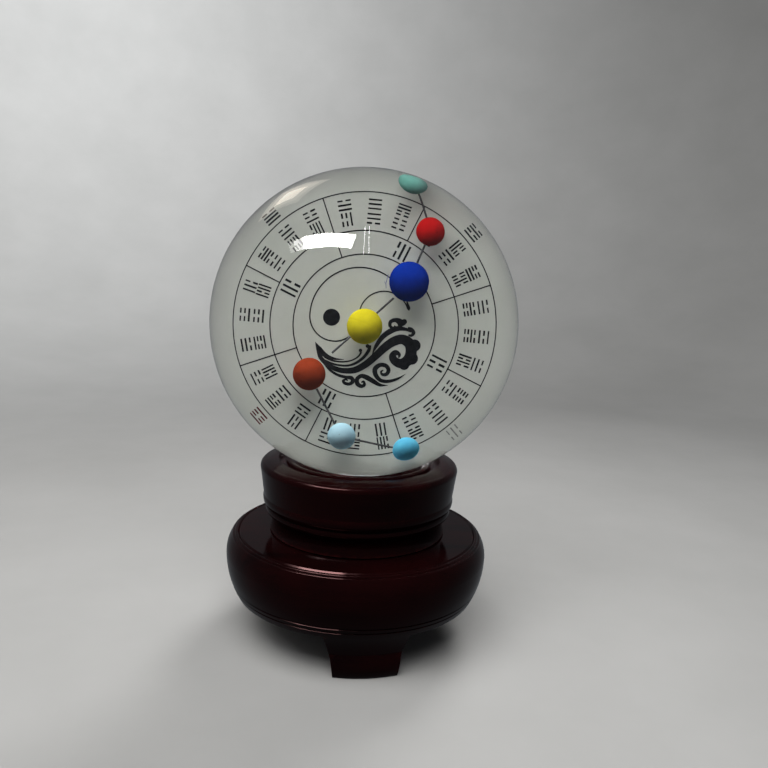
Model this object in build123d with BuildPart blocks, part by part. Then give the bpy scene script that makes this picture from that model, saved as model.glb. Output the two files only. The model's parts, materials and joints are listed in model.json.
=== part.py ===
from build123d import *
from math import cos, radians, sin, sqrt
import os

# A clear cast-resin ball with a printed calendar dial and a chain of painted beads inside.
# It rests in a turned wooden cup, and the cup turns on a three-footed wooden base.
# Millimetres and degrees. +Z is up, the floor is z = 0, Z is the turning axis, the front faces -Y.

# ---- Ball ----
BALL_R = 50.0
BALL_Z = 104.5            # height of the ball's centre
DIAL_LEAN = 6.4           # the dial leans back from upright
DIAL_TURN = 1.5           # and is turned a little about Z
DIAL_BEHIND = 5.0         # the dial's face lies behind the ball's centre
DIAL_R = 46.0
DIAL_T = 0.3

# Each bead: across and up in the bead plane, then its radius.
BEADS = {
    "bead_teal": (10.0, 32.7, 3.5),
    "bead_red": (13.65, 20.65, 3.2),
    "bead_blue": (9.4, 9.6, 4.4),
    "bead_yellow": (0.0, -0.5, 3.95),
    "bead_orange": (-11.9, -11.45, 3.65),
    "bead_pale_blue": (-4.35, -25.3, 3.2),
    "bead_sky_blue": (10.4, -28.2, 3.15),
}
ROD_R = 0.24
LINKS = {
    "rod_teal_red": ("bead_teal", "bead_red"),
    "rod_red_blue": ("bead_red", "bead_blue"),
    "rod_orange_pale": ("bead_orange", "bead_pale_blue"),
    "rod_pale_sky": ("bead_pale_blue", "bead_sky_blue"),
}
SKEWER = ((6.15, 5.95), (-7.0, -6.6))   # rod through the yellow bead, both ends free

# ---- Base body and foot ring: one round side, parted by a glue line ----
BASE_TOP = 34.6
SIDE_MAX_R = 44.1
SIDE_MAX_Z = 27.6
SIDE_ARC_R = 28.0         # radius of the side's curve below its widest level
GLUE_Z = 16.4
RING_BOTTOM = 14.1
RING_IN_R = 26.0
TOP_EDGE = (42.3, 33.4)   # radius and height where the side's upper curve ends
TOP_ROUND = (42.0, 33.8)  # middle of the rounded edge
TOP_CREASE = (41.5, 33.9)
TOP_BEAD = (40.8, 34.5)   # crown of the thin bead that rims the flat top
TOP_VALLEY = (40.1, 34.1)
TOP_FLAT_R = 39.6
SIDE_LINE_Z = 18.0        # turned line just above the glue line
GROOVE = 0.5              # width of every fine turned line

# ---- Feet ----
FEET = 3
FRONT_FOOT_TURN = 6.0     # the front foot stands a little to the right of the front
FOOT_IN_TOP_R = 29.5
FOOT_IN_TOE_R = 31.0
ANKLE = (37.9, 7.5)       # radius and height where the side ends and a small ledge begins
LEDGE = (38.5, 6.4)
TOE = (39.1, 3.2)
SOLE_R = 38.1
FOOT_TOP_HALF = 12.9      # half widths of a foot at its top, its ledge and the floor
FOOT_LEDGE_HALF = 10.9
FOOT_SOLE_HALF = 10.0
FOOT_CORNER = 1.2         # round inside corner between foot and ring

# ---- Cup ----
CUP_BOTTOM = 35.1
COLLAR_R = 29.6
COLLAR_WAIST_R = 29.0
STEP_R = 30.9
STEP_Z = 41.6
RIDGE = (31.3, 42.5)      # radius and height of the crown of the ridge above the step
RIDGE_LINE = (31.0, 43.5) # turned line between the ridge and the band
BAND = (32.1, 45.5)       # crown of the band
BAND_LINE = (32.0, 47.5)  # turned line between the band and the side
SIDE_MID = (32.55, 51.9)
SHOULDER = (33.2, 56.6)
CREST = (31.4, 58.4)
CROWN_MID = (29.3, 58.95)
INNER_EDGE = (27.2, 59.2)
GROOVE_OUT = (26.3, 57.6) # a narrow groove parts the crown from a thin round lip
GROOVE_IN = (24.7, 57.6)
LIP_OUT = (24.4, 58.6)
LIP_TOP = (23.6, 59.0)
LIP_IN = (22.6, 58.6)
LIP_FOOT_Z = 58.2         # a finer groove parts the lip from the seat
SEAT_ANGLE = 23.2         # the seat meets the ball this far round from the ball's lowest point
SEAT_GAP = 0.3
SEAT_HALF = 1.2           # half the width of the sloping seat
DISH_FLOOR = 48.0

# ---- Swivel: M8 flat-head bolt and a thrust ball bearing, 8 x 19 x 7 ----
BOLT_R = 3.95
BORE_R = 4.0
HEAD_R = 8.0
HEAD_TOP = 47.5
HEAD_CLEARANCE = 0.05     # the countersink is this much wider than the bolt's head
BOLT_END = 12.5
BOLT_CHAMFER = 0.8
SOCKET_AF = 5.0
SOCKET_DEPTH = 3.0
RACE_R = 9.5
RACE_T = 2.2
LOWER_RACE_BORE_R = 4.05
BEARING_H = 7.0
RACEWAY_R = 6.75
BEARING_BALL_R = 1.5875
BEARING_BALLS = 9
RACEWAY_GAP = 0.06
CAGE_IN_R = 4.6
CAGE_OUT_R = 8.9
CAGE_T = 1.4
RECESS_R = 10.0           # room for the nut in the underside of the base
RECESS_TOP = 23.5
WASHER_R = 8.0
WASHER_BORE_R = 4.2
WASHER_T = 1.6
WASHER_GAP = 0.3
NUT_AF = 13.0
NUT_T = 6.5
NUT_CHAMFER_R = 7.1
NUT_COLLAR_R = 5.9
NUT_COLLAR_T = 1.5

BEARING_Z = (BASE_TOP + CUP_BOTTOM) / 2
BEARING_BOTTOM = BEARING_Z - BEARING_H / 2
BEARING_TOP = BEARING_Z + BEARING_H / 2
WASHER_TOP = RECESS_TOP - WASHER_GAP
NUT_TOP = WASHER_TOP - WASHER_T
SIDE_ARC_CENTRE_R = SIDE_MAX_R - SIDE_ARC_R

UP = (Align.CENTER, Align.CENTER, Align.MIN)


def side_r(z):
    """Radius of the base's round side at height z, below its widest level."""
    return SIDE_ARC_CENTRE_R + sqrt(SIDE_ARC_R**2 - (SIDE_MAX_Z - z) ** 2)


# ---- Planes that the ball's contents lie in ----
turn = radians(DIAL_TURN)
lean = radians(DIAL_LEAN)
bead_plane = Plane(
    origin=(0, 0, BALL_Z),
    x_dir=(cos(turn), sin(turn), 0),
    z_dir=(sin(turn) * cos(lean), -cos(turn) * cos(lean), sin(lean)),
)
dial_plane = bead_plane.offset(-DIAL_BEHIND)


def rod_between(start, end):
    """A straight round rod between two points of the bead plane."""
    foot = bead_plane.from_local_coords(Vector(*start, 0))
    tip = bead_plane.from_local_coords(Vector(*end, 0))
    with BuildPart() as rod:
        with BuildSketch(Plane(origin=foot, z_dir=tip - foot)):
            Circle(ROD_R)
        extrude(amount=(tip - foot).length)
    return rod


# ---- Beads and rods ----
contents = {"rod_yellow": rod_between(*SKEWER)}

for bead_name, (across, up, bead_r) in BEADS.items():
    with BuildPart() as bead:
        with Locations(bead_plane):
            with Locations((across, up)):
                Sphere(bead_r)
        if bead_name == "bead_yellow":
            add(contents["rod_yellow"].part, mode=Mode.SUBTRACT)
    contents[bead_name] = bead

for rod_name, (first, second) in LINKS.items():
    whole_rod = rod_between(BEADS[first][:2], BEADS[second][:2])
    with BuildPart() as link:
        add(whole_rod.part)
        add(contents[first].part, mode=Mode.SUBTRACT)
        add(contents[second].part, mode=Mode.SUBTRACT)
    contents[rod_name] = link

# ---- Ball: cast in two pours that meet at the dial ----
with BuildPart() as ball_front:
    with Locations(bead_plane):
        Sphere(BALL_R)
    split(bisect_by=dial_plane, keep=Keep.TOP)
    for piece in contents.values():
        add(piece.part, mode=Mode.SUBTRACT)

with BuildPart() as dial_disc:
    with BuildSketch(dial_plane):
        Circle(DIAL_R)
    extrude(amount=-DIAL_T)

with BuildPart() as ball_back:
    with Locations(bead_plane):
        Sphere(BALL_R)
    split(bisect_by=dial_plane, keep=Keep.BOTTOM)
    add(dial_disc.part, mode=Mode.SUBTRACT)

# ---- Cup: a turned bowl on a hollow-sided collar ----
seat = radians(SEAT_ANGLE)
seat_slope = Vector(cos(seat), sin(seat))
seat_mid = Vector((BALL_R + SEAT_GAP) * sin(seat), BALL_Z - (BALL_R + SEAT_GAP) * cos(seat))
seat_in = seat_mid - seat_slope * SEAT_HALF
seat_out = seat_mid + seat_slope * SEAT_HALF

with BuildPart() as cup:
    with BuildSketch(Plane.XZ):
        with BuildLine():
            collar_waist = (COLLAR_WAIST_R, (CUP_BOTTOM + STEP_Z) / 2)
            Line((0, CUP_BOTTOM), (COLLAR_R, CUP_BOTTOM))
            ThreePointArc((COLLAR_R, CUP_BOTTOM), collar_waist, (COLLAR_R, STEP_Z))
            Line((COLLAR_R, STEP_Z), (STEP_R, STEP_Z))
            ThreePointArc((STEP_R, STEP_Z), RIDGE, RIDGE_LINE)
            ThreePointArc(RIDGE_LINE, BAND, BAND_LINE)
            ThreePointArc(BAND_LINE, SIDE_MID, SHOULDER)
            TangentArc(SHOULDER, CREST, tangent=(0, 1))
            ThreePointArc(CREST, CROWN_MID, INNER_EDGE)
            Polyline(INNER_EDGE, GROOVE_OUT, GROOVE_IN, LIP_OUT)
            ThreePointArc(LIP_OUT, LIP_TOP, LIP_IN)
            Polyline(
                LIP_IN,
                (seat_out.X + GROOVE, LIP_FOOT_Z),
                (seat_out.X, seat_out.Y),
                (seat_in.X, seat_in.Y),
                (seat_in.X, DISH_FLOOR),
                (0, DISH_FLOOR),
                (0, CUP_BOTTOM),
            )
        make_face()
    revolve(axis=Axis.Z)
    with Locations((0, 0, CUP_BOTTOM)):
        Cylinder(RACE_R, BEARING_TOP - CUP_BOTTOM, align=UP, mode=Mode.SUBTRACT)
    with Locations((0, 0, DISH_FLOOR)):
        sink_r = HEAD_R + HEAD_CLEARANCE + DISH_FLOOR - HEAD_TOP
        CounterSinkHole(BORE_R, sink_r, counter_sink_angle=90)

# ---- Base body: a turned drum with room for the bearing above and the nut below ----
with BuildPart() as base_body:
    with BuildSketch(Plane.XZ):
        with BuildLine():
            glue_edge = (side_r(GLUE_Z), GLUE_Z)
            widest = (SIDE_MAX_R, SIDE_MAX_Z)
            TangentArc(widest, glue_edge, tangent=(0, -1))
            TangentArc(widest, TOP_EDGE, tangent=(0, 1))
            ThreePointArc(TOP_EDGE, TOP_ROUND, TOP_CREASE)
            ThreePointArc(TOP_CREASE, TOP_BEAD, TOP_VALLEY)
            Polyline(
                TOP_VALLEY,
                (TOP_FLAT_R, BASE_TOP),
                (0, BASE_TOP),
                (0, GLUE_Z),
                glue_edge,
            )
        make_face()
    revolve(axis=Axis.Z)
    with BuildSketch(Plane.XZ):
        for line_z in (GLUE_Z, SIDE_LINE_Z):
            with Locations((side_r(line_z), line_z)):
                Rectangle(GROOVE, GROOVE, rotation=45)
    revolve(axis=Axis.Z, mode=Mode.SUBTRACT)
    with Locations((0, 0, BEARING_BOTTOM)):
        Cylinder(RACE_R, BASE_TOP - BEARING_BOTTOM, align=UP, mode=Mode.SUBTRACT)
    with Locations((0, 0, GLUE_Z)):
        Cylinder(RECESS_R, RECESS_TOP - GLUE_Z, align=UP, mode=Mode.SUBTRACT)
    with Locations((0, 0, RECESS_TOP)):
        Cylinder(BORE_R, BEARING_BOTTOM - RECESS_TOP, align=UP, mode=Mode.SUBTRACT)

# ---- Foot ring: glued under the base body, with three bracket feet ----
with BuildPart() as foot:
    with BuildSketch(Plane.XZ):
        with BuildLine():
            foot_top = (side_r(RING_BOTTOM), RING_BOTTOM)
            side_slope = (RING_BOTTOM - SIDE_MAX_Z, SIDE_ARC_CENTRE_R - foot_top[0])
            TangentArc(foot_top, ANKLE, tangent=side_slope)
            Line(ANKLE, LEDGE)
            ThreePointArc(LEDGE, TOE, (SOLE_R, 0))
            Polyline((SOLE_R, 0), (FOOT_IN_TOE_R, 0), (FOOT_IN_TOP_R, RING_BOTTOM), foot_top)
        make_face()
    revolve(axis=Axis.Z)
    with BuildSketch(Plane.XZ):
        with BuildLine():
            corner_top = (FOOT_TOP_HALF + FOOT_CORNER, RING_BOTTOM)
            corner_side = (FOOT_TOP_HALF, RING_BOTTOM - FOOT_CORNER)
            Line((0, RING_BOTTOM), corner_top)
            TangentArc(corner_top, corner_side, tangent=(-1, 0))
            Polyline(corner_side, (FOOT_LEDGE_HALF, LEDGE[1]), (FOOT_SOLE_HALF, 0), (0, 0))
            mirror(about=Plane.YZ)
        make_face()
    extrude(amount=SIDE_MAX_R, mode=Mode.INTERSECT)

with BuildPart() as foot_ring:
    with BuildSketch(Plane.XZ):
        with BuildLine():
            ring_mid_z = (RING_BOTTOM + GLUE_Z) / 2
            ring_low = (side_r(RING_BOTTOM), RING_BOTTOM)
            ring_high = (side_r(GLUE_Z), GLUE_Z)
            ThreePointArc(ring_low, (side_r(ring_mid_z), ring_mid_z), ring_high)
            Polyline(ring_high, (RING_IN_R, GLUE_Z), (RING_IN_R, RING_BOTTOM), ring_low)
        make_face()
    revolve(axis=Axis.Z)
    with PolarLocations(0, FEET, start_angle=FRONT_FOOT_TURN):
        add(foot.part)
    with BuildSketch(Plane.XZ):
        with Locations((side_r(GLUE_Z), GLUE_Z)):
            Rectangle(GROOVE, GROOVE, rotation=45)
    revolve(axis=Axis.Z, mode=Mode.SUBTRACT)


# ---- Swivel hardware ----
def make_race(z_low, bore_r):
    """A bearing washer with its ball groove, which faces the bearing's middle plane."""
    with BuildPart() as race:
        with Locations((0, 0, z_low)):
            Cylinder(RACE_R, RACE_T, align=UP)
            Cylinder(bore_r, RACE_T, align=UP, mode=Mode.SUBTRACT)
        with Locations((0, 0, BEARING_Z)):
            Torus(RACEWAY_R, BEARING_BALL_R + RACEWAY_GAP, mode=Mode.SUBTRACT)
    return race


lower_race = make_race(BEARING_BOTTOM, LOWER_RACE_BORE_R)
upper_race = make_race(BEARING_TOP - RACE_T, BORE_R)

with BuildPart() as bearing_balls:
    with Locations((0, 0, BEARING_Z)):
        with PolarLocations(RACEWAY_R, BEARING_BALLS):
            Sphere(BEARING_BALL_R)

with BuildPart() as bearing_cage:
    with Locations((0, 0, BEARING_Z)):
        Cylinder(CAGE_OUT_R, CAGE_T)
        Cylinder(CAGE_IN_R, CAGE_T, mode=Mode.SUBTRACT)
        with PolarLocations(RACEWAY_R, BEARING_BALLS):
            Cylinder(BEARING_BALL_R + RACEWAY_GAP, CAGE_T, mode=Mode.SUBTRACT)

with BuildPart() as pivot_bolt:
    with BuildSketch(Plane.XZ):
        with BuildLine():
            Polyline(
                (0, BOLT_END),
                (BOLT_R - BOLT_CHAMFER, BOLT_END),
                (BOLT_R, BOLT_END + BOLT_CHAMFER),
                (BOLT_R, HEAD_TOP - HEAD_R + BOLT_R),
                (HEAD_R, HEAD_TOP),
                (0, HEAD_TOP),
                close=True,
            )
        make_face()
    revolve(axis=Axis.Z)
    with BuildSketch(Plane.XY.offset(HEAD_TOP)):
        RegularPolygon(SOCKET_AF / 2, 6, major_radius=False)
    extrude(amount=-SOCKET_DEPTH, mode=Mode.SUBTRACT)

with BuildPart() as washer:
    with Locations((0, 0, NUT_TOP)):
        Cylinder(WASHER_R, WASHER_T, align=UP)
        Cylinder(WASHER_BORE_R, WASHER_T, align=UP, mode=Mode.SUBTRACT)

with BuildPart() as lock_nut:
    with BuildSketch(Plane.XY.offset(NUT_TOP)):
        RegularPolygon(NUT_AF / 2, 6, major_radius=False)
    extrude(amount=-NUT_T)
    with BuildSketch(Plane.XZ):
        with BuildLine():
            nut_low = NUT_TOP - NUT_T
            nut_high_r = NUT_CHAMFER_R + NUT_T
            nut_edge = ((nut_high_r, NUT_TOP), (NUT_CHAMFER_R, nut_low))
            Polyline((0, NUT_TOP), *nut_edge, (0, nut_low), close=True)
        make_face()
    revolve(axis=Axis.Z, mode=Mode.INTERSECT)
    with BuildSketch(Plane.XY.offset(NUT_TOP - NUT_T)):
        Circle(NUT_COLLAR_R)
    extrude(amount=-NUT_COLLAR_T)
    with BuildSketch(Plane.XY.offset(NUT_TOP)):
        Circle(BOLT_R)
    extrude(amount=-NUT_T - NUT_COLLAR_T, mode=Mode.SUBTRACT)

# ---- Write one STEP file for each piece ----
pieces = {
    "ball_front": ball_front,
    "ball_back": ball_back,
    "dial_disc": dial_disc,
    **contents,
    "cup": cup,
    "upper_race": upper_race,
    "pivot_bolt": pivot_bolt,
    "washer": washer,
    "lock_nut": lock_nut,
    "bearing_cage": bearing_cage,
    "bearing_balls": bearing_balls,
    "base_body": base_body,
    "foot_ring": foot_ring,
    "lower_race": lower_race,
}
os.makedirs("parts", exist_ok=True)
for name, piece in pieces.items():
    piece.part.label = name
    export_step(piece.part, f"parts/{name}.step")
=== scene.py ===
import json
import random
from math import cos, pi, radians, sin, tau

import bmesh
import bpy
from mathutils import Matrix, Vector, noise


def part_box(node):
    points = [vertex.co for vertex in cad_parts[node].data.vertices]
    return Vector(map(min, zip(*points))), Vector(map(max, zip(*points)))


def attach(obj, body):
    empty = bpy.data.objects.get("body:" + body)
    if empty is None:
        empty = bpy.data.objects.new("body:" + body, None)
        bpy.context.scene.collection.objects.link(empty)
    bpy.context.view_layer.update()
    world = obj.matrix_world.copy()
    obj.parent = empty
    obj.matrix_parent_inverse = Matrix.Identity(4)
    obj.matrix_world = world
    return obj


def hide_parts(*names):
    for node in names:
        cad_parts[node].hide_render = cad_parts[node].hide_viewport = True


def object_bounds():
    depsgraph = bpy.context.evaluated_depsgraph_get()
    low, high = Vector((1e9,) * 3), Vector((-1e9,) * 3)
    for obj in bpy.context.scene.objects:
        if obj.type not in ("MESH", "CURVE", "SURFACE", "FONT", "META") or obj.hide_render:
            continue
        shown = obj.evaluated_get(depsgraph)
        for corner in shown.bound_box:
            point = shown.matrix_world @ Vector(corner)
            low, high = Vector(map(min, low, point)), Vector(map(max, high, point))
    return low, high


# A clear ball with a printed calendar dial and painted beads inside, on a turned and lacquered
# wooden stand that swivels. Metres, in the CAD frame: +Z is up and the front faces -Y.
# Sizes written times MM are millimetres, angles are degrees.
MM = 0.001

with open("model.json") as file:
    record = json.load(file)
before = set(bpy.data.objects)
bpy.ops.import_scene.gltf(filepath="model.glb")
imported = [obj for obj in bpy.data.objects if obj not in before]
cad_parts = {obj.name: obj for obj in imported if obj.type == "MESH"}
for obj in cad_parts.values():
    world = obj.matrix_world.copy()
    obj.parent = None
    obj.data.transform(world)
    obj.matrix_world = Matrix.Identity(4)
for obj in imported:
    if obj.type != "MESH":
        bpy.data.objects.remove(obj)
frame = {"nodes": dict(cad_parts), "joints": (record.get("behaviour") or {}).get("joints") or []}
cad_low, cad_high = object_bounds()

# ---------------------------------------------------------------- places taken from the frame
joint_place = {j["name"]: Vector(j["pos_m"]) for j in frame["joints"]}
BALL_CENTRE = joint_place["ball_roll"]
BALL_R = cad_high.z - BALL_CENTRE.z - 0.002 * MM   # a hair inside the CAD ball's own box

# The dial's plane, as in the CAD: leaned back, turned a little, and behind the ball's centre.
DIAL_LEAN = 6.4
DIAL_TURN = 1.5
DIAL_BEHIND = 5.0 * MM
DIAL_R = 46.0 * MM
PRINT_OFF_CENTRE = Vector((0.04, -0.28, 0)) * MM   # the print sits a hair off the disc's centre

dial_turn = (
    Matrix.Rotation(radians(DIAL_TURN), 4, "Z")
    @ Matrix.Rotation(radians(90 - DIAL_LEAN), 4, "X")
)
bead_frame = Matrix.Translation(BALL_CENTRE) @ dial_turn
dial_frame = bead_frame @ Matrix.Translation((0, 0, -DIAL_BEHIND))
print_frame = dial_frame @ Matrix.Translation(PRINT_OFF_CENTRE)


# ---------------------------------------------------------------- camera
CAMERA_PLACE = Vector((-1.7, -253.84, 127.73)) * MM
CAMERA_DOWN = 9.61
CAMERA_TURN = -2.01
CAMERA_ROLL = 2.44
CAMERA_LENS = 36.1
SENSOR_WIDTH = 36
CLIP_START = 10 * MM

camera = bpy.data.objects.new("camera", bpy.data.cameras.new("camera"))
camera.data.lens = CAMERA_LENS
camera.data.sensor_width = SENSOR_WIDTH
camera.data.clip_start = CLIP_START
camera.matrix_world = (
    Matrix.Translation(CAMERA_PLACE)
    @ Matrix.Rotation(radians(CAMERA_TURN), 4, "Z")
    @ Matrix.Rotation(radians(90 - CAMERA_DOWN), 4, "X")
    @ Matrix.Rotation(radians(CAMERA_ROLL), 4, "Z")
)
bpy.context.scene.collection.objects.link(camera)
bpy.context.scene.camera = camera
bpy.context.scene.view_settings.view_transform = "Standard"


# ---------------------------------------------------------------- materials
class Nodes:
    """A material's node tree, with short calls for the nodes this script uses."""

    def __init__(self, name):
        self.material = bpy.data.materials.new(name)
        self.material.use_nodes = True
        self.tree = self.material.node_tree
        self.shader = self.tree.nodes["Principled BSDF"]
        self.output = self.tree.nodes["Material Output"]
        self.place = self.add("ShaderNodeTexCoord").outputs["Object"]

    def add(self, kind, **settings):
        node = self.tree.nodes.new(kind)
        for key, value in settings.items():
            setattr(node, key, value)
        return node

    def join(self, source, target):
        self.tree.links.new(source, target)

    def put(self, socket, value):
        if isinstance(value, bpy.types.NodeSocket):
            self.join(value, socket)
        else:
            socket.default_value = value

    def stretched(self, scale):
        """Object coordinates in metres, scaled along each axis."""
        mapping = self.add("ShaderNodeMapping")
        self.join(self.place, mapping.inputs["Vector"])
        mapping.inputs["Scale"].default_value = scale
        return mapping.outputs["Vector"]

    def noise(self, scale, detail=3.0, roughness=0.5, stretch=(1, 1, 1), distortion=0.0):
        node = self.add("ShaderNodeTexNoise")
        self.join(self.stretched(stretch), node.inputs["Vector"])
        node.inputs["Scale"].default_value = scale
        node.inputs["Detail"].default_value = detail
        node.inputs["Roughness"].default_value = roughness
        node.inputs["Distortion"].default_value = distortion
        return node.outputs["Fac"]

    def voronoi(self, scale, feature="F1", stretch=(1, 1, 1)):
        node = self.add("ShaderNodeTexVoronoi", feature=feature)
        self.join(self.stretched(stretch), node.inputs["Vector"])
        node.inputs["Scale"].default_value = scale
        return node.outputs["Distance"]

    def span(self, value, low, high, new_low=0.0, new_high=1.0):
        """Maps low..high to new_low..new_high, clamped."""
        node = self.add("ShaderNodeMapRange")
        self.put(node.inputs["Value"], value)
        for key, number in zip(
            ("From Min", "From Max", "To Min", "To Max"), (low, high, new_low, new_high)
        ):
            node.inputs[key].default_value = number
        return node.outputs["Result"]

    def maths(self, operation, first, second=0.0):
        node = self.add("ShaderNodeMath", operation=operation)
        self.put(node.inputs[0], first)
        self.put(node.inputs[1], second)
        return node.outputs["Value"]

    def blend(self, share, first, second):
        node = self.add("ShaderNodeMix", data_type="RGBA")
        self.put(node.inputs["Factor"], share)
        self.put(node.inputs["A"], first)
        self.put(node.inputs["B"], second)
        return node.outputs["Result"]

    def bump(self, height, depth, below=None):
        """A bump of that depth in metres, on top of another bump if given."""
        node = self.add("ShaderNodeBump")
        self.put(node.inputs["Height"], height)
        node.inputs["Distance"].default_value = depth
        if below is not None:
            self.join(below, node.inputs["Normal"])
        return node.outputs["Normal"]

    def set(self, **values):
        """Sets the shader's inputs; an underscore stands for a space."""
        for key, value in values.items():
            self.put(self.shader.inputs[key.replace("_", " ")], value)


def rgb(red, green, blue):
    """An opaque colour."""
    return (red, green, blue, 1.0)


def clear_resin():
    """Polished clear resin with fine scratches.

    Rays that carry light to what lies inside go straight through, without being bent.
    """
    n = Nodes("clear_resin")
    n.set(
        Base_Color=rgb(1, 1, 1),
        Roughness=0.0,
        IOR=1.5,
        Transmission_Weight=1.0,
    )
    lines = n.voronoi(90.0, "DISTANCE_TO_EDGE", (1, 1, 0.35))
    thin = n.span(lines, 0.0, 0.006, 1.0, 0.0)
    some = n.span(n.noise(60.0, 2.0), 0.66, 0.7)
    scratches = n.maths("MULTIPLY", thin, some)
    n.set(Normal=n.bump(scratches, 0.02 * MM))
    path = n.add("ShaderNodeLightPath")
    straight = n.maths(
        "MAXIMUM", path.outputs["Is Shadow Ray"], path.outputs["Is Diffuse Ray"]
    )
    see_through = n.add("ShaderNodeBsdfTransparent")
    mixed = n.add("ShaderNodeMixShader")
    n.join(straight, mixed.inputs["Fac"])
    n.join(n.shader.outputs["BSDF"], mixed.inputs[1])
    n.join(see_through.outputs["BSDF"], mixed.inputs[2])
    n.join(mixed.outputs["Shader"], n.output.inputs["Surface"])
    return n.material


# Painted shade: the film's colour is darker near its rim, the more so the higher up, where less
# light falls on it.
PAINTED_SHADE_STARTS = 29 * MM
PAINTED_SHADE_FULL = 37 * MM
PAINTED_SHADE_LOW = -30 * MM                 # heights above the ball's centre
PAINTED_SHADE_HIGH = 32 * MM
PAINTED_SHADE_SHARE = 0.85


def film():
    """Matt grey-green printed film, faintly mottled, with a painted shade that darkens its rim near
    the top.
    """
    n = Nodes("dial_film")
    mottle = n.noise(90.0, 4.0, 0.6)
    fine = n.noise(1600.0, 2.0)
    colour = n.blend(n.span(mottle, 0.3, 0.7), rgb(0.58, 0.61, 0.55), rgb(0.63, 0.655, 0.60))
    from_middle = n.add("ShaderNodeVectorMath", operation="DISTANCE")
    n.join(n.place, from_middle.inputs[0])
    from_middle.inputs[1].default_value = BALL_CENTRE
    rim = n.span(from_middle.outputs["Value"], PAINTED_SHADE_STARTS, PAINTED_SHADE_FULL)
    axes = n.add("ShaderNodeSeparateXYZ")
    n.join(n.place, axes.inputs["Vector"])
    above = n.span(
        axes.outputs["Z"], BALL_CENTRE.z + PAINTED_SHADE_LOW, BALL_CENTRE.z + PAINTED_SHADE_HIGH, 0.0, PAINTED_SHADE_SHARE
    )
    # painted shade: the colour darkens towards the rim and the top
    colour = n.blend(n.maths("MULTIPLY", rim, above), colour, rgb(0.36, 0.345, 0.33))
    n.set(
        Base_Color=n.blend(n.span(fine, 0.3, 0.7, 0.0, 0.12), colour, rgb(0.50, 0.52, 0.48)),
        Roughness=n.span(fine, 0.3, 0.7, 0.7, 0.85),
        Specular_IOR_Level=0.0,
        Normal=n.bump(fine, 0.01 * MM),
    )
    return n.material


def ink(name, light, dark):
    """Printing ink with small uneven patches."""
    n = Nodes(name)
    patch = n.noise(900.0, 3.0, 0.6)
    n.set(
        Base_Color=n.blend(n.span(patch, 0.35, 0.75), rgb(*dark), rgb(*light)),
        Roughness=n.span(patch, 0.3, 0.7, 0.6, 0.8),
        Specular_IOR_Level=0.0,
    )
    return n.material


def bead_paint(name, light, dark):
    """Matt paint on a small bead: mottled, with pin holes painted darker as shade, and fine brush
    grit.
    """
    n = Nodes(name)
    mottle = n.noise(260.0, 4.0, 0.65)
    grit = n.noise(2400.0, 2.0, 0.6)
    holes = n.span(n.voronoi(620.0), 0.05, 0.13, 1.0, 0.0)
    few = n.span(n.noise(330.0, 1.0), 0.55, 0.6)
    pits = n.maths("MULTIPLY", holes, few)
    body = n.blend(n.span(mottle, 0.32, 0.68), rgb(*dark), rgb(*light))
    # painted shade: the pin holes are coloured darker, as shade in the hollows
    painted_pit_shade = [0.25 * c for c in dark]
    rough = n.bump(grit, 0.015 * MM)
    n.set(
        Base_Color=n.blend(pits, body, rgb(*painted_pit_shade)),
        Roughness=n.span(mottle, 0.3, 0.7, 0.55, 0.75),
        Specular_IOR_Level=0.0,
        Normal=n.bump(pits, -0.06 * MM, below=rough),
    )
    return n.material


def lacquer():
    """Very dark red-brown gloss lacquer over turned wood, redder on its edges, partly as wear and
    partly as a painted sheen.
    """
    n = Nodes("lacquered_wood")
    grain = n.noise(140.0, 5.0, 0.6, (0.12, 1, 1), 0.4)
    cloud = n.noise(35.0, 2.0)
    dark = n.blend(
        n.span(grain, 0.35, 0.7), rgb(0.0025, 0.0008, 0.0010), rgb(0.009, 0.0013, 0.0015)
    )
    body = n.blend(n.span(cloud, 0.35, 0.65, 0.0, 0.6), dark, rgb(0.012, 0.0014, 0.0016))
    geometry = n.add("ShaderNodeNewGeometry")
    # Redder on sharp edges: partly where the lacquer wears through, partly a painted red sheen.
    edge = n.span(geometry.outputs["Pointiness"], 0.53, 0.62)
    wear_and_painted_sheen = n.maths("MULTIPLY", edge, n.span(n.noise(420.0, 3.0), 0.3, 0.6, 0.0, 0.7))
    dust = n.span(n.voronoi(300.0), 0.02, 0.05, 1.0, 0.0)
    few = n.span(n.noise(120.0, 1.0), 0.6, 0.66)
    specks = n.maths("MULTIPLY", dust, few)
    waves = n.noise(220.0, 2.0)
    turned = n.noise(900.0, 2.0, 0.5, (0.05, 0.05, 1))
    orange_peel = n.bump(waves, 0.02 * MM)
    marks = n.bump(turned, 0.003 * MM, below=orange_peel)
    n.set(
        Base_Color=n.blend(wear_and_painted_sheen, body, rgb(0.045, 0.005, 0.005)),
        Roughness=n.span(cloud, 0.3, 0.7, 0.09, 0.15),
        Specular_IOR_Level=0.11,
        Specular_Tint=rgb(1.0, 0.5, 0.5),
        Normal=n.bump(specks, 0.05 * MM, below=marks),
    )
    return n.material


def metal(name, colour, roughness, scratch, stretch=(1, 1, 1)):
    """A plain metal with fine tool marks and a little tarnish."""
    n = Nodes(name)
    tarnish = n.noise(180.0, 4.0, 0.6)
    marks = n.noise(2600.0, 2.0, 0.5, stretch)
    dull = [0.55 * c for c in colour]
    n.set(
        Base_Color=n.blend(n.span(tarnish, 0.4, 0.75), rgb(*colour), rgb(*dull)),
        Metallic=1.0,
        Roughness=n.span(marks, 0.3, 0.7, roughness, roughness + 0.15),
        Normal=n.bump(marks, scratch),
    )
    return n.material


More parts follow.
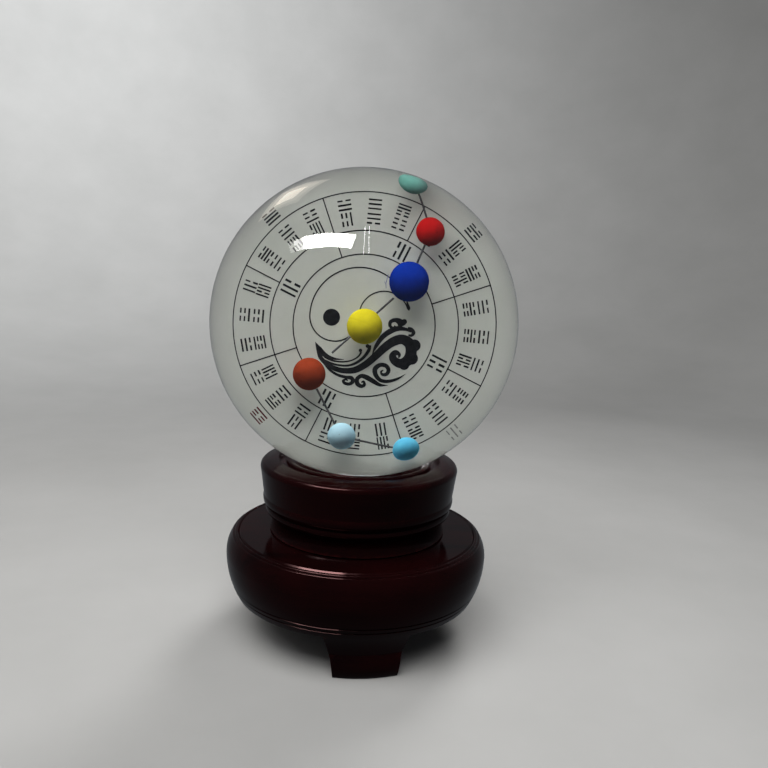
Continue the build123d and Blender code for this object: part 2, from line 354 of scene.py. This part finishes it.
def wire():
    """Darkened thin steel wire."""
    n = Nodes("dark_wire")
    patch = n.noise(900.0, 3.0)
    n.set(
        Base_Color=n.blend(n.span(patch, 0.3, 0.7), rgb(0.03, 0.032, 0.035), rgb(0.09, 0.09, 0.09)),
        Metallic=0.2,
        Roughness=n.span(patch, 0.3, 0.7, 0.5, 0.65),
        Specular_IOR_Level=0.2,
        Normal=n.bump(patch, 0.01 * MM),
    )
    return n.material


def backdrop_paint():
    """Pale grey paper, faintly mottled, for the floor and the wall behind."""
    n = Nodes("backdrop_paper")
    mottle = n.noise(14.0, 4.0, 0.6)
    fine = n.noise(700.0, 2.0)
    n.set(
        Base_Color=n.blend(
            n.span(mottle, 0.3, 0.7), rgb(0.385, 0.385, 0.378), rgb(0.42, 0.42, 0.413)
        ),
        Roughness=0.9,
        Normal=n.bump(fine, 0.02 * MM),
    )
    return n.material


RESIN = clear_resin()
FILM = film()
INK = ink("ink_slate", (0.022, 0.023, 0.026), (0.008, 0.009, 0.011))
RED_INK = ink("ink_dark_red", (0.16, 0.02, 0.02), (0.05, 0.012, 0.014))
PALE_INK = ink("ink_worn", (0.30, 0.31, 0.29), (0.17, 0.175, 0.17))
LACQUER = lacquer()
BEARING_STEEL = metal("bearing_steel", (0.55, 0.55, 0.56), 0.12, 0.001 * MM)
ZINC = metal("zinc_steel", (0.60, 0.62, 0.66), 0.3, 0.004 * MM)
BRASS = metal("cage_brass", (0.62, 0.44, 0.17), 0.28, 0.003 * MM)
WIRE = wire()
BEAD_PAINT = {
    "bead_teal": bead_paint("paint_teal", (0.16, 0.46, 0.39), (0.12, 0.38, 0.31)),
    "bead_red": bead_paint("paint_red", (0.50, 0.006, 0.006), (0.40, 0.005, 0.005)),
    "bead_blue": bead_paint("paint_blue", (0.004, 0.034, 0.37), (0.003, 0.024, 0.27)),
    "bead_yellow": bead_paint("paint_yellow", (0.80, 0.70, 0.025), (0.70, 0.60, 0.018)),
    "bead_orange": bead_paint("paint_orange", (0.36, 0.052, 0.018), (0.28, 0.040, 0.013)),
    "bead_pale_blue": bead_paint("paint_pale_blue", (0.56, 0.88, 1.0), (0.48, 0.78, 0.92)),
    "bead_sky_blue": bead_paint("paint_sky_blue", (0.18, 0.74, 1.0), (0.13, 0.62, 0.95)),
}


def dress(node_name, material):
    """Gives a carried-over CAD node that material on every slot."""
    mesh = frame["nodes"][node_name].data
    mesh.materials.clear()
    mesh.materials.append(material)


# ---------------------------------------------------------------- mesh helpers
def mesh_piece(name, bm, material, body, smooth=True):
    """Turns a bmesh into a shown piece that rides on a CAD body."""
    mesh = bpy.data.meshes.new(name)
    bm.normal_update()
    bm.to_mesh(mesh)
    bm.free()
    mesh.polygons.foreach_set("use_smooth", [smooth] * len(mesh.polygons))
    mesh.materials.append(material)
    piece = bpy.data.objects.new(name, mesh)
    bpy.context.scene.collection.objects.link(piece)
    if body is not None:
        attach(piece, body)
    return piece


def round_cube(cuts):
    """A sphere of radius 1, made from a cube with cuts x cuts faces on each side."""
    bm = bmesh.new()
    bmesh.ops.create_cube(bm, size=2)
    bmesh.ops.subdivide_edges(bm, edges=bm.edges, cuts=cuts - 1, use_grid_fill=True)
    for vert in bm.verts:
        bent = Vector(sin(c * pi / 4) / cos(c * pi / 4) for c in vert.co)   # even faces
        vert.co = bent.normalized()
    return bm


# ---------------------------------------------------------------- ball
BALL_CUTS = 96
bm = round_cube(BALL_CUTS)
bmesh.ops.scale(bm, vec=(BALL_R,) * 3, verts=bm.verts)
bmesh.ops.translate(bm, vec=BALL_CENTRE, verts=bm.verts)
ball = mesh_piece("clear_ball", bm, RESIN, "ball")
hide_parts("ball_front", "ball_back")

# ---------------------------------------------------------------- beads
BEAD_CUTS = 40
BEAD_UNEVEN = 0.05 * MM           # hand-painted beads are a little out of round
PIT_DEPTH = 0.10 * MM
PIT_WIDTH = 0.30 * MM
BORE_DEPTH = 0.22 * MM
BORE_WIDTH = 0.62 * MM
SEAM_DEPTH = 0.05 * MM
SEAM_WIDTH = 0.22 * MM
# Each bead: pits in its skin, and whether a fine moulding seam shows.
BEAD_SKIN = {
    "bead_teal": (5, False),
    "bead_red": (8, False),
    "bead_blue": (16, False),
    "bead_yellow": (9, True),
    "bead_orange": (7, False),
    "bead_pale_blue": (5, False),
    "bead_sky_blue": (6, False),
}
BORES = {
    "bead_teal": ("bead_red",),
    "bead_red": ("bead_teal", "bead_blue"),
    "bead_blue": ("bead_red",),
    "bead_yellow": ("bead_blue", "bead_orange"),
    "bead_orange": ("bead_pale_blue",),
    "bead_pale_blue": ("bead_orange", "bead_sky_blue"),
    "bead_sky_blue": ("bead_pale_blue",),
}


def hollow(distance, width):
    """Depth of a round-bottomed hollow at a distance from its middle, 1 there and 0 outside."""
    return (1 - (distance / width) ** 2) ** 2 if distance < width else 0.0


bead_box = {bead_name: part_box(bead_name) for bead_name in BEAD_PAINT}
bead_middle = {name: (Vector(box[0]) + Vector(box[1])) / 2 for name, box in bead_box.items()}
rng = random.Random(7)
for bead_name, paint in BEAD_PAINT.items():
    low, high = bead_box[bead_name]
    radius = (high[2] - low[2]) / 2
    middle = bead_middle[bead_name]
    pits, seam = BEAD_SKIN[bead_name]
    pit_spots = []
    for _ in range(pits):
        spot = Vector((rng.gauss(0, 1), rng.gauss(0, 1), rng.gauss(0, 1))).normalized()
        pit_spots.append((spot, rng.uniform(0.5, 1.0)))
    bore_spots = [(bead_middle[other] - middle).normalized() for other in BORES[bead_name]]
    seam_normal = Vector((0.35, 0.25, 0.9)).normalized()
    shift = Vector((rng.uniform(0, 50), rng.uniform(0, 50), rng.uniform(0, 50)))
    bm = round_cube(BEAD_CUTS)
    for vert in bm.verts:
        out = vert.co.copy()
        sink = BEAD_UNEVEN * (0.5 + 0.5 * noise.noise(out * 1.6 + shift))
        sink += 0.25 * BEAD_UNEVEN * (0.5 + 0.5 * noise.noise(out * 6.0 + shift))
        for spot, size in pit_spots:
            sink += PIT_DEPTH * size * hollow((out - spot).length * radius, PIT_WIDTH * size)
        for spot in bore_spots:
            sink += BORE_DEPTH * hollow((out - spot).length * radius, BORE_WIDTH)
        if seam:
            sink += SEAM_DEPTH * hollow(abs(out.dot(seam_normal)) * radius, SEAM_WIDTH)
        vert.co = middle + out * (radius - sink)
    bead = mesh_piece(bead_name.replace("bead", "painted_bead"), bm, paint, "ball")
    bead.visible_shadow = False   # this softens its shadow on the film
    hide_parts(bead_name)

# ---------------------------------------------------------------- rods, disc, stand, hardware
for rod_name in ("rod_teal_red", "rod_red_blue", "rod_yellow", "rod_orange_pale", "rod_pale_sky"):
    dress(rod_name, WIRE)
dress("dial_disc", FILM)
for wood_name in ("cup", "base_body", "foot_ring"):
    dress(wood_name, LACQUER)
for steel_name in ("upper_race", "lower_race", "bearing_balls"):
    dress(steel_name, BEARING_STEEL)
for zinc_name in ("pivot_bolt", "washer", "lock_nut"):
    dress(zinc_name, ZINC)
dress("bearing_cage", BRASS)

# ---------------------------------------------------------------- printed dial
INK_THICK = 0.03 * MM
LINE = 0.25 * MM
RING_RADII = (28.17 * MM, 20.13 * MM, 15.22 * MM)
RING_STEPS = 360
SECTORS = 8
FIRST_DIVIDER = -19.9             # clockwise from the top of the dial
COLUMN_TURNS = (8.8, 23.2, 37.0)  # columns of a sector, clockwise from its first divider
COLUMN_RADII = (25.6 * MM, 22.6 * MM)
COLUMN_MARK = 2.8 * MM            # a mark is this wide and this high
SEASON_TURN = 25.1
SEASON_RADIUS = 17.6 * MM
SEASON_MARK = 3.5 * MM
OUTER_TURN = 47.6
OUTER_RADIUS = 30.6 * MM
OUTER_MARK = 3.4 * MM
SECTOR_TURN = 360 / SECTORS
QUARTER_TURN = 90
LYING_SHARE = 0.3                 # share of the marks whose bars run along the radius
BROKEN_SHARE = 0.5                # share of the bars that are broken in the middle
BAR_GAP = 0.11                    # half the gap of a broken bar, as a share of the mark


def on_dial(radius, clockwise):
    """A point of the print, at that radius and angle clockwise from its top."""
    return Vector((radius * sin(radians(clockwise)), radius * cos(radians(clockwise))))


def slab(bm, outline):
    """A flat ink shape with that outline, standing on the film."""
    low = [bm.verts.new((p[0], p[1], 0)) for p in outline]
    high = [bm.verts.new((p[0], p[1], INK_THICK)) for p in outline]
    bm.faces.new(high)
    bm.faces.new(low[::-1])
    for i in range(len(outline)):
        j = (i + 1) % len(outline)
        bm.faces.new((low[i], low[j], high[j], high[i]))


def stroke(bm, line, widths):
    """A brush stroke along a line of points, with a width at each point."""
    rows = []
    for i, point in enumerate(line):
        ahead = line[min(i + 1, len(line) - 1)] - line[max(i - 1, 0)]
        side = Vector((-ahead.y, ahead.x)).normalized() * (widths[i] / 2)
        left, right = point + side, point - side
        corners = ((left, 0), (right, 0), (right, INK_THICK), (left, INK_THICK))
        rows.append([bm.verts.new((spot.x, spot.y, z)) for spot, z in corners])
    for a, b in zip(rows, rows[1:]):
        for i in range(4):
            j = (i + 1) % 4
            bm.faces.new((a[i], b[i], b[j], a[j]))
    bm.faces.new(rows[0])
    bm.faces.new(rows[-1][::-1])


def ring(bm, radius, width):
    """A closed ring of ink."""
    inner, outer = radius - width / 2, radius + width / 2
    loops = []
    for r, z in ((inner, 0), (outer, 0), (outer, INK_THICK), (inner, INK_THICK)):
        loops.append(
            [
                bm.verts.new((r * cos(tau * i / RING_STEPS), r * sin(tau * i / RING_STEPS), z))
                for i in range(RING_STEPS)
            ]
        )
    for a, b in zip(loops, loops[1:] + loops[:1]):
        for i in range(RING_STEPS):
            j = (i + 1) % RING_STEPS
            bm.faces.new((a[i], b[i], b[j], a[j]))


def print_piece(name, bm, material=INK):
    """An ink piece, moved from the print's own coordinates onto the film."""
    bmesh.ops.recalc_face_normals(bm, faces=bm.faces)
    bmesh.ops.transform(bm, matrix=print_frame, verts=bm.verts)
    return mesh_piece(name, bm, material, "ball", smooth=False)


def bar_mark(bm, centre, clockwise, size, rng, weight=0.13):
    """A block of bold bars, whole or broken, that stands where a written sign would be."""
    turn = Matrix.Rotation(-radians(clockwise), 2)
    if rng.random() < LYING_SHARE:
        turn = turn @ Matrix.Rotation(radians(QUARTER_TURN), 2)
    bars = rng.choice((3, 4))
    half = size / 2
    gap = size * BAR_GAP
    for k in range(bars):
        y = half - (k + 0.5) * size / bars
        spans = [(-half, half)]
        if rng.random() < BROKEN_SHARE:
            spans = [(-half, -gap), (gap, half)]
        for start, end in spans:
            line = [centre + turn @ Vector(spot) for spot in ((start, y), (end, y))]
            thick = weight * size * rng.uniform(0.85, 1.1)
            stroke(bm, line, [thick, thick])


def smooth_line(points, per_part=8):
    """A curve through all the points, given in millimetres, by Catmull-Rom parts."""
    knots = [Vector(p) * MM for p in points]
    knots = [2 * knots[0] - knots[1]] + knots + [2 * knots[-1] - knots[-2]]
    line = []
    for a, b, c, d in zip(knots, knots[1:], knots[2:], knots[3:]):
        for i in range(per_part):
            t = i / per_part
            line.append(
                0.5 * ((2 * b) + (c - a) * t + (2 * a - 5 * b + 4 * c - d) * t * t
                       + (3 * b - a - 3 * c + d) * t * t * t)
            )
    line.append(knots[-2])
    return line


def brush(bm, points, widths, per_part=8):
    """A brush stroke through those points, with a width in millimetres at each."""
    line = smooth_line(points, per_part)
    wide = []
    for first, second in zip(widths, widths[1:]):
        wide += [first + (second - first) * i / per_part for i in range(per_part)]
    wide.append(widths[-1])
    stroke(bm, line, [w * MM for w in wide])


def arc_points(centre, radius, start, end, steps):
    """Points of a circle in millimetres, angles counterclockwise from the right."""
    return [
        (
            centre[0] + radius * cos(radians(start + (end - start) * i / steps)),
            centre[1] + radius * sin(radians(start + (end - start) * i / steps)),
        )
        for i in range(steps + 1)
    ]


def dot(bm, centre, radius, steps=40):
    """A round spot of ink, in millimetres."""
    slab(bm, [Vector(p) * MM for p in arc_points(centre, radius, 0, 360 - 360 / steps, steps - 1)])


bm = bmesh.new()
for radius in RING_RADII:
    ring(bm, radius, LINE)
for k in range(SECTORS):
    turn = FIRST_DIVIDER + SECTOR_TURN * k
    inner = RING_RADII[2] if k % 2 == 0 else RING_RADII[1]
    stroke(bm, [on_dial(RING_RADII[0], turn), on_dial(inner, turn)], [LINE, LINE])
print_piece("ink_rings", bm)

rng = random.Random(24)
bm = bmesh.new()
for k in range(SECTORS):
    for offset in COLUMN_TURNS:
        turn = FIRST_DIVIDER + SECTOR_TURN * k + offset
        for radius in COLUMN_RADII:
            bar_mark(bm, on_dial(radius, turn), turn, COLUMN_MARK, rng)
print_piece("ink_columns", bm)

bm = bmesh.new()
for k in range(4):
    turn = SEASON_TURN + QUARTER_TURN * k
    bar_mark(bm, on_dial(SEASON_RADIUS, turn), turn, SEASON_MARK, rng, 0.14)
print_piece("ink_seasons", bm)

for mark_name, k, material, weight in (
    ("ink_mark_upper_right", 0, INK, 0.12),
    ("ink_mark_lower_right", 1, PALE_INK, 0.09),
    ("ink_mark_lower_left", 2, RED_INK, 0.12),
    ("ink_mark_upper_left", 3, INK, 0.13),
):
    bm = bmesh.new()
    turn = OUTER_TURN + QUARTER_TURN * k
    bar_mark(bm, on_dial(OUTER_RADIUS, turn), turn, OUTER_MARK, rng, weight)
    print_piece(mark_name, bm, material)

# The light half of the yin-yang: a big arc, two half-size arcs and a round spot. Millimetres.
YANG_CENTRE = (-1.0, 1.7)
YANG_R = 10.7
HEAD_CENTRE = (-6.35, 1.85)
TAIL_CENTRE = (4.2, 2.2)
YANG_DOT = (-7.05, 1.6)
YANG_DOT_R = 1.83
YANG_LINE = 0.28
YANG_TIP = [0.05, 0.75, 0.6, 0.42]   # the big arc starts as a thick brush tip

bm = bmesh.new()
big = arc_points(YANG_CENTRE, YANG_R, 10, 180, 60)
head = arc_points(HEAD_CENTRE, YANG_R / 2, 179, 357, 36)
tail = arc_points(TAIL_CENTRE, YANG_R / 2, 186, 20, 36)
brush(bm, big, YANG_TIP + [YANG_LINE] * (len(big) - len(YANG_TIP)), 2)
brush(bm, head, [YANG_LINE] * len(head), 2)
brush(bm, tail, [YANG_LINE] * len(tail), 2)
dot(bm, YANG_DOT, YANG_DOT_R)
print_piece("ink_yin_yang", bm)

# The dark half: a cloud scroll of brush strokes. Each is a list of points and a list of widths,
# one for each point, in millimetres.
SCROLL = (
    # the blade at the left
    (
        [(-10.4, -3.8), (-9.5, -5.3), (-8.0, -6.7), (-6.1, -7.3), (-4.1, -7.4)],
        [0.05, 1.2, 1.0, 0.5, 0.1],
    ),
    # the long stroke that ends in the big curl
    (
        [
            (-10.0, -5.1), (-9.2, -7.0), (-7.7, -8.5), (-5.7, -9.5), (-3.7, -9.8),
            (-1.5, -9.5), (0.7, -8.2), (2.6, -6.5), (4.6, -4.5), (6.5, -3.1),
            (8.4, -2.6), (10.0, -3.6), (10.3, -5.4), (9.7, -7.0), (8.3, -7.8),
            (6.9, -7.3), (6.4, -6.3), (7.0, -5.5), (7.8, -5.9), (7.7, -6.6),
        ],
        [
            0.4, 0.9, 1.0, 1.1, 1.2, 1.4, 1.5, 1.6, 1.8, 2.0,
            2.1, 2.4, 2.4, 2.4, 2.1, 1.8, 1.6, 1.2, 0.7, 0.3,
        ],
    ),
    # two thin strokes above it
    (
        [(-8.3, -7.0), (-6.6, -7.7), (-4.4, -7.9), (-2.4, -7.5), (-1.0, -6.6), (-0.4, -5.6)],
        [0.4, 0.4, 0.35, 0.3, 0.35, 0.45],
    ),
    (
        [
            (-8.2, -7.7), (-6.0, -8.5), (-3.5, -8.7), (-1.6, -8.1), (0.1, -6.8),
            (1.2, -5.2), (1.4, -4.1),
        ],
        [0.4, 0.45, 0.45, 0.55, 0.65, 0.75, 0.6],
    ),
    # the upper branch with its hook and its crest
    (
        [
            (1.9, -6.2), (2.7, -4.3), (4.0, -2.3), (5.6, -1.0), (7.3, -0.3),
            (9.0, -0.4), (10.3, -0.8),
        ],
        [0.05, 0.8, 1.1, 1.2, 1.1, 0.7, 0.6],
    ),
    (
        [(9.4, -0.2), (10.2, -0.4), (10.7, -1.1), (10.2, -1.7), (9.6, -1.6)],
        [0.7, 0.8, 0.8, 0.6, 0.4],
    ),
    (
        [
            (8.2, 0.2), (7.7, 1.1), (6.7, 1.5), (5.7, 1.1), (5.6, 0.2),
            (6.3, -0.2), (6.7, 0.3),
        ],
        [1.6, 1.5, 0.9, 0.8, 0.7, 0.5, 0.3],
    ),
    # the middle curl with its long tail
    (
        [
            (9.3, -10.0), (7.8, -11.0), (5.8, -11.7), (4.0, -11.6), (2.9, -10.5),
            (2.7, -9.2), (3.7, -8.3), (5.0, -8.4), (5.6, -9.3), (5.2, -10.2),
            (4.3, -10.3), (4.0, -9.7), (4.5, -9.4),
        ],
        [0.05, 0.5, 0.7, 0.8, 1.0, 1.1, 0.9, 0.9, 0.9, 0.8, 0.6, 0.4, 0.3],
    ),
    # two small curls below
    (
        [
            (-8.6, -8.3), (-7.0, -9.8), (-5.2, -10.8), (-3.5, -11.2), (-2.4, -11.3),
            (-2.0, -12.0), (-2.7, -12.6), (-3.7, -12.5), (-4.1, -12.0), (-3.6, -11.7),
            (-3.1, -11.9),
        ],
        [0.1, 0.5, 0.6, 0.7, 0.9, 0.9, 0.7, 0.7, 0.6, 0.4, 0.3],
    ),
    (
        [
            (5.6, -12.6), (3.9, -12.6), (2.5, -11.9), (1.0, -11.1), (-0.2, -10.8),
            (-1.1, -11.5), (-1.0, -12.5), (-0.2, -13.0), (0.5, -12.7), (0.3, -12.0),
            (-0.2, -12.2),
        ],
        [0.05, 0.7, 1.0, 1.1, 0.9, 0.9, 1.0, 0.8, 0.7, 0.5, 0.3],
    ),
)
# Round spots of the scroll, each with its centre and radius.
SCROLL_DOTS = (
    ((-0.6, -5.3), 0.38),
    ((0.9, -4.3), 0.42),
    ((11.0, -3.8), 1.3),
    ((10.5, -6.6), 1.35),
    ((8.9, -8.0), 1.15),
    ((8.6, 1.2), 0.6),
)

bm = bmesh.new()
for points, widths in SCROLL:
    brush(bm, points, widths)
for place, radius in SCROLL_DOTS:
    dot(bm, place, radius)
print_piece("ink_cloud_scroll", bm)

# ---------------------------------------------------------------- floor, wall and light
# A round floor that bends up into a wall on every side, so that it lies behind every view.
FLOOR_R = 0.45
BEND_R = 0.55
WALL_TOP = 1.3
BEND_STEPS = 24
BOWL_STEPS = 128

bm = bmesh.new()
section = [(FLOOR_R * share, 0.0) for share in (0.25, 0.5, 0.75, 1.0)]   # radius and height
for i in range(1, BEND_STEPS + 1):
    a = radians(90) * i / BEND_STEPS
    section.append((FLOOR_R + BEND_R * sin(a), BEND_R - BEND_R * cos(a)))
section.append((FLOOR_R + BEND_R, WALL_TOP))
rows = []
for r, z in section:
    turns = [tau * i / BOWL_STEPS for i in range(BOWL_STEPS)]
    rows.append([bm.verts.new((r * cos(a), r * sin(a), z)) for a in turns])
bm.faces.new(rows[0])
for inner, outer in zip(rows, rows[1:]):
    for i in range(BOWL_STEPS):
        j = (i + 1) % BOWL_STEPS
        bm.faces.new((inner[i], outer[i], outer[j], inner[j]))
backdrop = mesh_piece("backdrop", bm, backdrop_paint(), None)
backdrop.visible_diffuse = False   # it throws no light back on the object
backdrop.visible_glossy = False    # and isn't mirrored in it


def area_light(name, place, target, size, size_y, watts, colour):
    """A soft rectangular lamp at place that faces target."""
    lamp = bpy.data.objects.new(name, bpy.data.lights.new(name, "AREA"))
    lamp.data.shape = "RECTANGLE"
    lamp.data.size = size
    lamp.data.size_y = size_y
    lamp.data.energy = watts
    lamp.data.color = colour
    facing = (place - target).to_track_quat("Z", "Y").to_matrix().to_4x4()
    lamp.matrix_world = Matrix.Translation(place) @ facing
    lamp.visible_camera = False
    bpy.context.scene.collection.objects.link(lamp)
    return lamp


# The glare panel is long and lies above, to the left and a little in front of the ball. It is seen
# in polished surfaces only; the soft lamps light everything else and are not seen in them.
PANEL_ABOVE = 0.8
PANEL_DEEP = 0.24 * PANEL_ABOVE
# Each part: where it starts and ends along the panel, and its power in watts.
GLARE_PARTS = ((0.0, 0.12, 0.2), (0.12, 0.28, 0.8), (0.28, 1.0, 18.0))
panel_left = BALL_CENTRE + Vector((-1.05, -0.21, 1.0)) * PANEL_ABOVE
panel_right = BALL_CENTRE + Vector((-0.17, -0.525, 1.0)) * PANEL_ABOVE
panel_axis = (panel_right - panel_left).normalized()
panel_up = Vector((0, 0, 1))
panel_across = panel_up.cross(panel_axis).normalized()
for start, end, watts in GLARE_PARTS:
    panel_place = panel_left.lerp(panel_right, (start + end) / 2)
    panel = area_light(
        "glare_panel",
        panel_place,
        BALL_CENTRE,
        (panel_right - panel_left).length * (end - start),
        PANEL_DEEP,
        watts,
        (1.0, 0.99, 0.97),
    )
    facing = Matrix((panel_axis, panel_across, panel_up)).transposed().to_4x4()
    panel.matrix_world = Matrix.Translation(panel_place) @ facing
    panel.visible_diffuse = False

side = area_light(
    "side_lamp",
    Vector((-0.62, -0.30, 0.66)),
    Vector((-0.02, 0.05, 0.10)),
    0.6,
    0.6,
    0.9,
    (1.0, 0.985, 0.96),
)
side.visible_glossy = False

top = area_light(
    "top_lamp",
    Vector((-0.18, -0.40, 1.0)),
    Vector((0, 0, 0.08)),
    1.1,
    0.8,
    12.4,
    (1.0, 0.99, 0.98),
)
top.visible_glossy = False

# This one stands near the wall, so that the wall is bright at the upper left.
wall_lamp = area_light(
    "wall_lamp",
    Vector((-0.20, 0.45, 0.66)),
    Vector((-0.50, 0.90, 0.46)),
    0.25,
    0.25,
    4.2,
    (0.97, 0.985, 1.0),
)
wall_lamp.visible_glossy = False

# A soft lamp behind, for whoever walks round to the back of the ball.
back = area_light(
    "back_lamp",
    Vector((0.30, 0.62, 0.72)),
    BALL_CENTRE,
    0.4,
    0.4,
    0.4,
    (1.0, 0.99, 0.98),
)
back.data.spread = radians(40)
back.visible_glossy = False

# A small bright patch behind the upper left of the ball, seen in its rim only. It is three
# squares, one in another, so that it fades outwards.
rim_place = Vector((-0.080, 0.085, 0.225))
for patch, watts in ((0.03, 0.008), (0.048, 0.009), (0.064, 0.010)):
    rim = area_light("rim_lamp", rim_place, BALL_CENTRE, patch, patch, watts, (1.0, 0.90, 0.76))
    rim.visible_diffuse = False
    rim.visible_transmission = False

# Two thin tubes overhead draw the two fine upright lines on the ball. They draw together a
# little as they go up and back, so that their reflections come out parallel.
TUBE_TOE_OUT = 0.63
TUBE_WIDE = 0.007
TUBE_LONG = 0.31
for tube_x in (-0.0315, 0.0055):
    tube = area_light(
        "tube_lamp",
        BALL_CENTRE + Vector((tube_x, -0.36, 0.72)),
        BALL_CENTRE + Vector((tube_x * TUBE_TOE_OUT, 0, 0)),
        TUBE_WIDE,
        TUBE_LONG,
        0.10,
        (1.0, 1.0, 1.0),
    )
    tube.visible_diffuse = False

# The room is dim for what it lights and a little brighter where a polished surface reflects it.
ROOM_LIGHT = 0.05
ROOM_MIRRORED = 0.17

world = bpy.data.worlds.new("soft_room")
world.use_nodes = True
room = world.node_tree.nodes["Background"]
room.inputs["Color"].default_value = rgb(0.88, 0.94, 1.0)
ray = world.node_tree.nodes.new("ShaderNodeLightPath")
strength = world.node_tree.nodes.new("ShaderNodeMapRange")
strength.inputs["To Min"].default_value = ROOM_LIGHT
strength.inputs["To Max"].default_value = ROOM_MIRRORED
world.node_tree.links.new(ray.outputs["Is Glossy Ray"], strength.inputs["Value"])
world.node_tree.links.new(strength.outputs["Result"], room.inputs["Strength"])
bpy.context.scene.world = world
